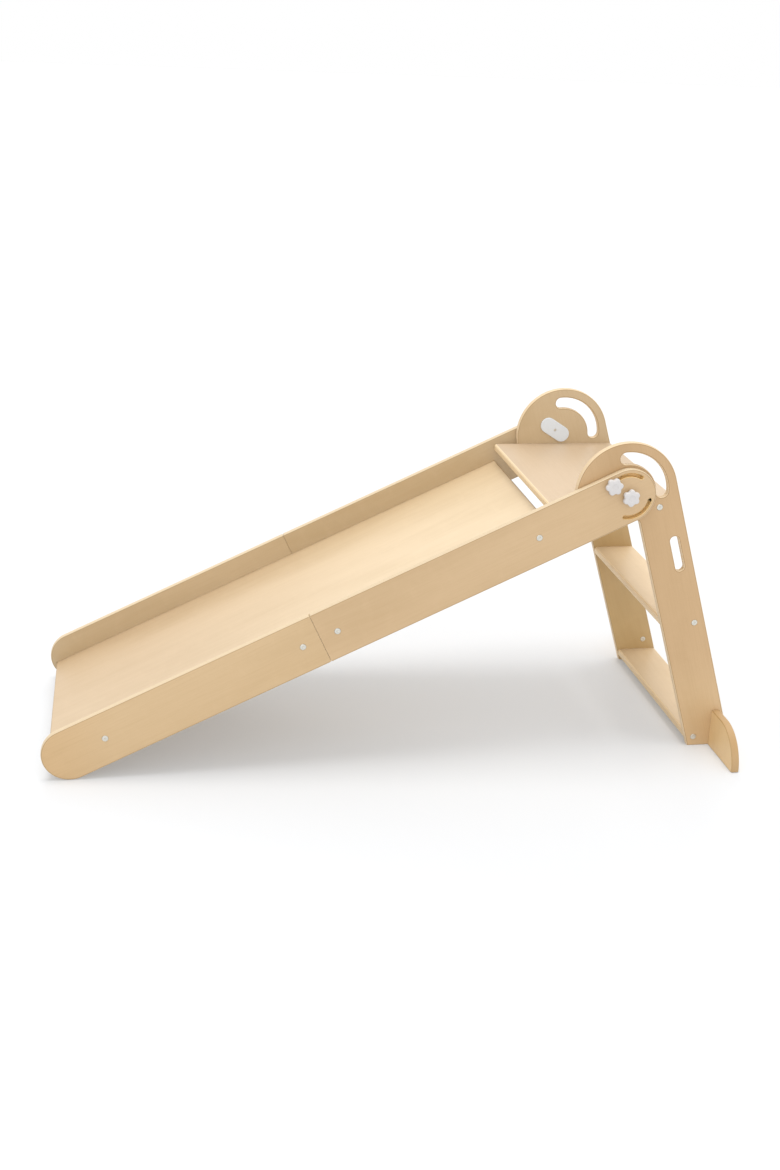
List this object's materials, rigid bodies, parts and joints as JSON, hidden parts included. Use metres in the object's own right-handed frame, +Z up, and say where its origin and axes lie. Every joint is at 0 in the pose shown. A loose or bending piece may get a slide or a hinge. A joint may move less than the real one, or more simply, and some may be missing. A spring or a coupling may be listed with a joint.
{
  "type": "toddler slide",
  "caption": "Folding wooden toddler slide: trough-shaped board with side panels, hinged to a two-step ladder with platform, half-round heads and outrigger feet.",
  "frame": {"origin": "on the floor, in the middle of the whole footprint", "axes": "+X from the slide's foot towards the ladder, +Y to the right of a child going down, +Z up"},
  "size_m": [1.5642, 0.7896, 0.728],
  "materials": {
    "birch_plywood": "satin clear lacquer",
    "beech_dowel": "raw",
    "knob_plastic": "fine texture",
    "cover_plastic": "fine texture",
    "nylon": "natural nylon",
    "zinc_steel": "bright zinc plate"
  },
  "bodies": {
    "slide": {"slide_board": "birch_plywood", "side_panel_upper_left": "birch_plywood", "side_panel_upper_right": "birch_plywood", "side_panel_lower_left": "birch_plywood", "side_panel_lower_right": "birch_plywood", "slide_bolts": "zinc_steel", "slide_barrel_nuts": "zinc_steel", "seam_dowels": "beech_dowel"},
    "ladder": {"ladder_panel_left": "birch_plywood", "ladder_panel_right": "birch_plywood", "platform": "birch_plywood", "middle_step": "birch_plywood", "bottom_step": "birch_plywood", "foot_left": "birch_plywood", "foot_right": "birch_plywood", "step_bolts": "zinc_steel", "step_barrel_nuts": "zinc_steel", "step_dowels": "beech_dowel", "foot_bolts": "zinc_steel", "foot_barrel_nuts": "zinc_steel", "foot_dowels": "beech_dowel", "insert_nuts": "zinc_steel", "nut_cover_left": "cover_plastic", "nut_cover_right": "cover_plastic", "cover_screws": "zinc_steel", "gap_washers": "nylon"},
    "pivot_washer_left": {"pivot_washer_left": "zinc_steel"},
    "pivot_knob_left": {"pivot_knob_left": "knob_plastic", "pivot_stud_left": "zinc_steel"},
    "lock_washer_left": {"lock_washer_left": "zinc_steel"},
    "lock_knob_left": {"lock_knob_left": "knob_plastic", "lock_stud_left": "zinc_steel"},
    "pivot_washer_right": {"pivot_washer_right": "zinc_steel"},
    "pivot_knob_right": {"pivot_knob_right": "knob_plastic", "pivot_stud_right": "zinc_steel"},
    "lock_washer_right": {"lock_washer_right": "zinc_steel"},
    "lock_knob_right": {"lock_knob_right": "knob_plastic", "lock_stud_right": "zinc_steel"}
  },
  "joints": [
    {"name": "fold", "type": "hinge", "parent": "slide", "child": "ladder", "pos_m": [0.47142, 0, 0.614], "axis": [0, 1, 0], "range_deg": [0, 82]},
    {"name": "pivot_knob_left_travel", "type": "slide", "parent": "ladder", "child": "pivot_washer_left", "axis": [0, -1, 0], "range_m": [0, 0.00374]},
    {"name": "pivot_knob_left_turn", "type": "hinge", "parent": "pivot_washer_left", "child": "pivot_knob_left", "pos_m": [0.47142, -0.28, 0.614], "axis": [0, -1, 0], "range_deg": [0, 1080]},
    {"name": "lock_knob_left_travel", "type": "slide", "parent": "ladder", "child": "lock_washer_left", "axis": [0, -1, 0], "range_m": [0, 0.00374]},
    {"name": "lock_knob_left_turn", "type": "hinge", "parent": "lock_washer_left", "child": "lock_knob_left", "pos_m": [0.43136, -0.28, 0.63952], "axis": [0, -1, 0], "range_deg": [0, 1080]},
    {"name": "pivot_knob_right_travel", "type": "slide", "parent": "ladder", "child": "pivot_washer_right", "axis": [0, 1, 0], "range_m": [0, 0.00374]},
    {"name": "pivot_knob_right_turn", "type": "hinge", "parent": "pivot_washer_right", "child": "pivot_knob_right", "pos_m": [0.47142, 0.28, 0.614], "axis": [0, 1, 0], "range_deg": [0, 1080]},
    {"name": "lock_knob_right_travel", "type": "slide", "parent": "ladder", "child": "lock_washer_right", "axis": [0, 1, 0], "range_m": [0, 0.00374]},
    {"name": "lock_knob_right_turn", "type": "hinge", "parent": "lock_washer_right", "child": "lock_knob_right", "pos_m": [0.43136, 0.28, 0.63952], "axis": [0, 1, 0], "range_deg": [0, 1080]}
  ],
  "couplings": [
    {"joint": "pivot_knob_left_turn", "follows": "pivot_knob_left_travel", "rad_per_m": 5026.5},
    {"joint": "lock_knob_left_turn", "follows": "lock_knob_left_travel", "rad_per_m": 5026.5},
    {"joint": "pivot_knob_right_turn", "follows": "pivot_knob_right_travel", "rad_per_m": 5026.5},
    {"joint": "lock_knob_right_turn", "follows": "lock_knob_right_travel", "rad_per_m": 5026.5}
  ]
}
